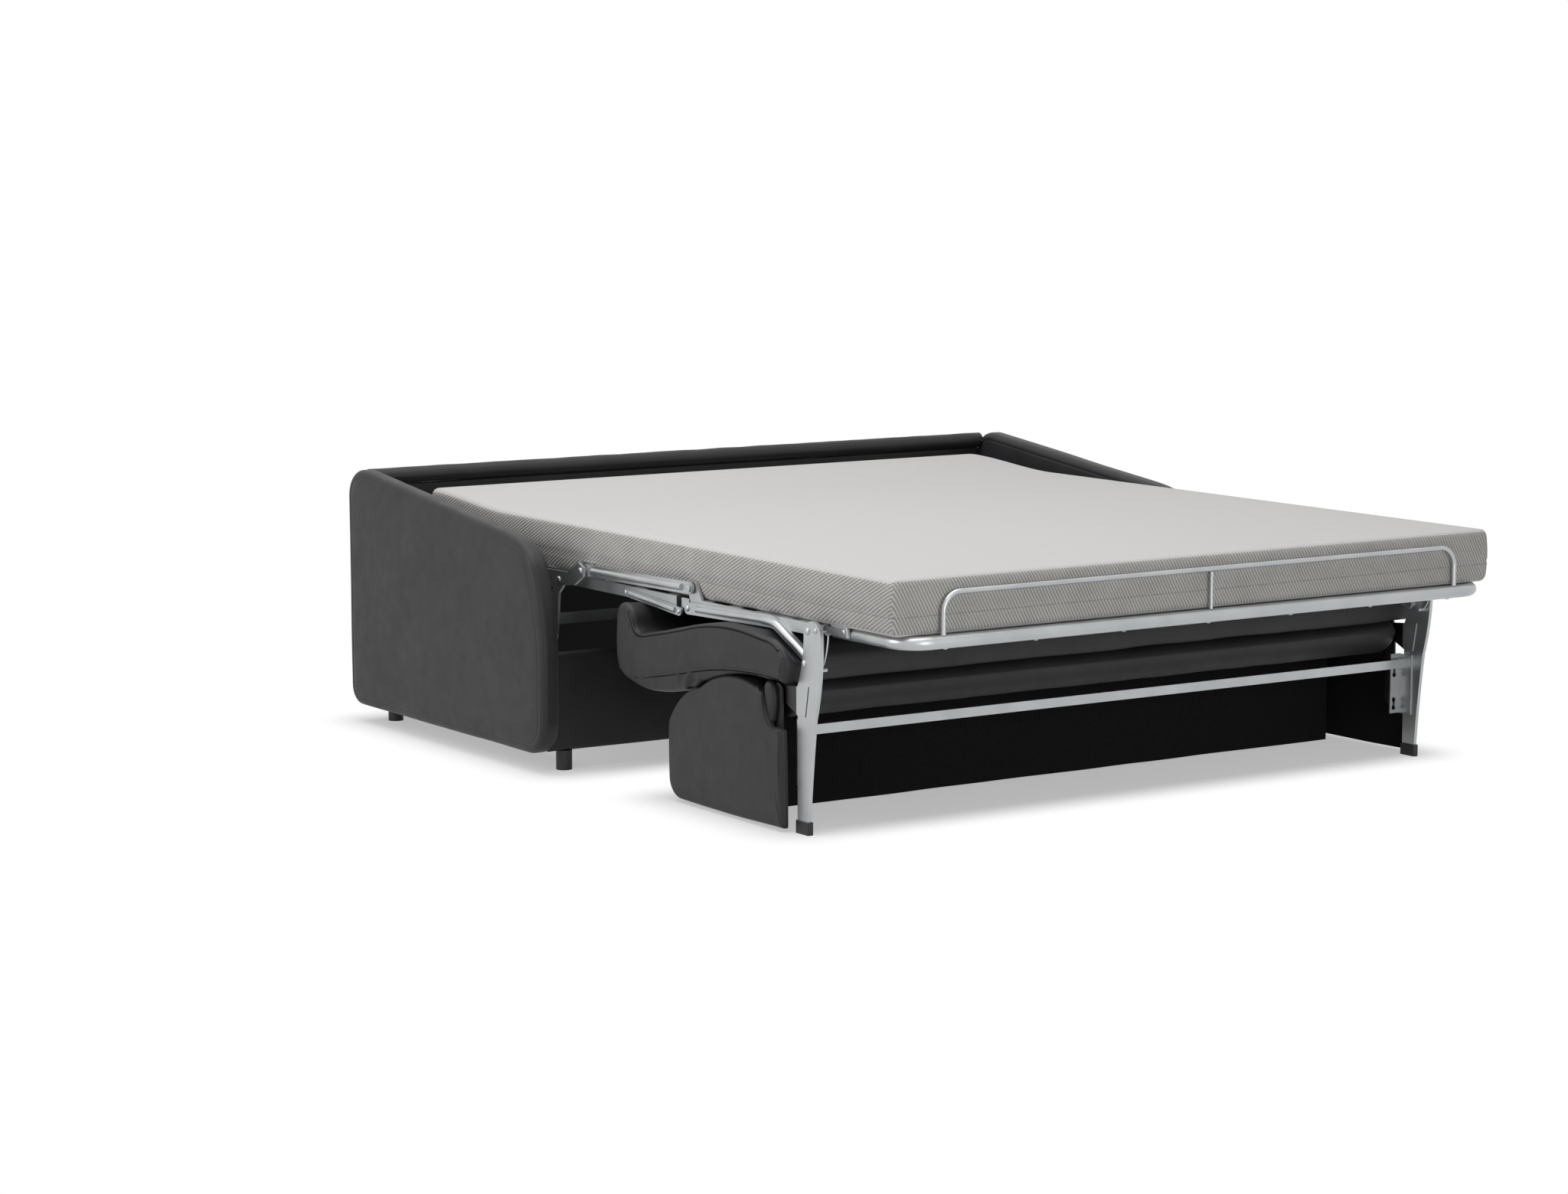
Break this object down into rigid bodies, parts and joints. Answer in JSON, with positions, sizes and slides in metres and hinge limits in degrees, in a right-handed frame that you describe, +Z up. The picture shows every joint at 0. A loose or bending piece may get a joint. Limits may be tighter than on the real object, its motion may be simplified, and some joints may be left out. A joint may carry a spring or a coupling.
{
  "type": "sofa bed",
  "caption": "Low upholstered sofa base with curved arms, opened into a bed: sectioned mattress on a steel frame, with the seat and hollow backrest folded underneath.",
  "frame": {"origin": "floor point under the middle of the open bed", "axes": "+Z up, +Y towards the sofa back, +X to the right arm seen from the foot of the bed"},
  "size_m": [1.904, 2.045, 0.6075],
  "materials": {
    "upholstery": "charcoal leather-look upholstery, satin",
    "mattress_cloth": "pale grey knitted ticking",
    "steel": "light grey powder coat",
    "black_plastic": "matt black",
    "rail_wood": "raw plywood"
  },
  "bodies": {
    "base": {"arm_left": "upholstery", "arm_right": "upholstery", "back_panel": "upholstery", "back_roll": "upholstery", "front_plinth": "upholstery", "base_rail_left": "rail_wood", "base_rail_right": "rail_wood", "base_cross_bar": "steel", "foot_front_left": "black_plastic", "foot_front_right": "black_plastic", "foot_back_left": "black_plastic", "foot_back_right": "black_plastic", "front_bracket_left": "steel", "front_bracket_right": "steel", "rear_bracket_left": "steel", "rear_bracket_right": "steel", "head_frame": "steel", "middle_frame": "steel", "strut_left": "steel", "strut_right": "steel", "mattress_head": "mattress_cloth", "mattress_middle": "mattress_cloth"},
    "bars": {"upper_bar_left": "steel", "upper_bar_right": "steel"},
    "seat_section": {"seat_frame": "steel", "side_link_left": "steel", "side_link_right": "steel", "leg_left": "steel", "leg_right": "steel", "leg_cap_left": "black_plastic", "leg_cap_right": "black_plastic", "keyhole_bracket_left": "steel", "keyhole_bracket_right": "steel", "leg_cross_strip": "steel", "mattress_seat": "mattress_cloth", "seat_cushion": "upholstery"},
    "foot_section": {"foot_tube": "steel", "foot_slats": "steel", "mattress_hoop": "steel", "hoop_stay": "steel", "mattress_foot": "mattress_cloth"},
    "backrest": {"backrest_shell": "upholstery", "backrest_hinge_left": "steel", "backrest_hinge_right": "steel"}
  },
  "joints": [
    {"name": "bar_lift", "type": "hinge", "parent": "base", "child": "bars", "pos_m": [0, 0.15, 0.445], "axis": [1, 0, 0], "range_deg": [-30, 0]},
    {"name": "seat_fold", "type": "hinge", "parent": "bars", "child": "seat_section", "pos_m": [0, -0.28, 0.452], "axis": [1, 0, 0], "range_deg": [-151, 0]},
    {"name": "foot_fold", "type": "hinge", "parent": "seat_section", "child": "foot_section", "pos_m": [0, -0.74, 0.414], "axis": [1, 0, 0], "range_deg": [0, 91]},
    {"name": "backrest_fold", "type": "hinge", "parent": "seat_section", "child": "backrest", "pos_m": [0, -0.653, 0.286], "axis": [1, 0, 0], "range_deg": [-91, 0]}
  ],
  "couplings": [
    {"joint": "bar_lift", "follows": "seat_fold", "ratio": 0.19205},
    {"joint": "foot_fold", "follows": "seat_fold", "ratio": -0.59603},
    {"joint": "backrest_fold", "follows": "seat_fold", "ratio": 0.59603}
  ]
}
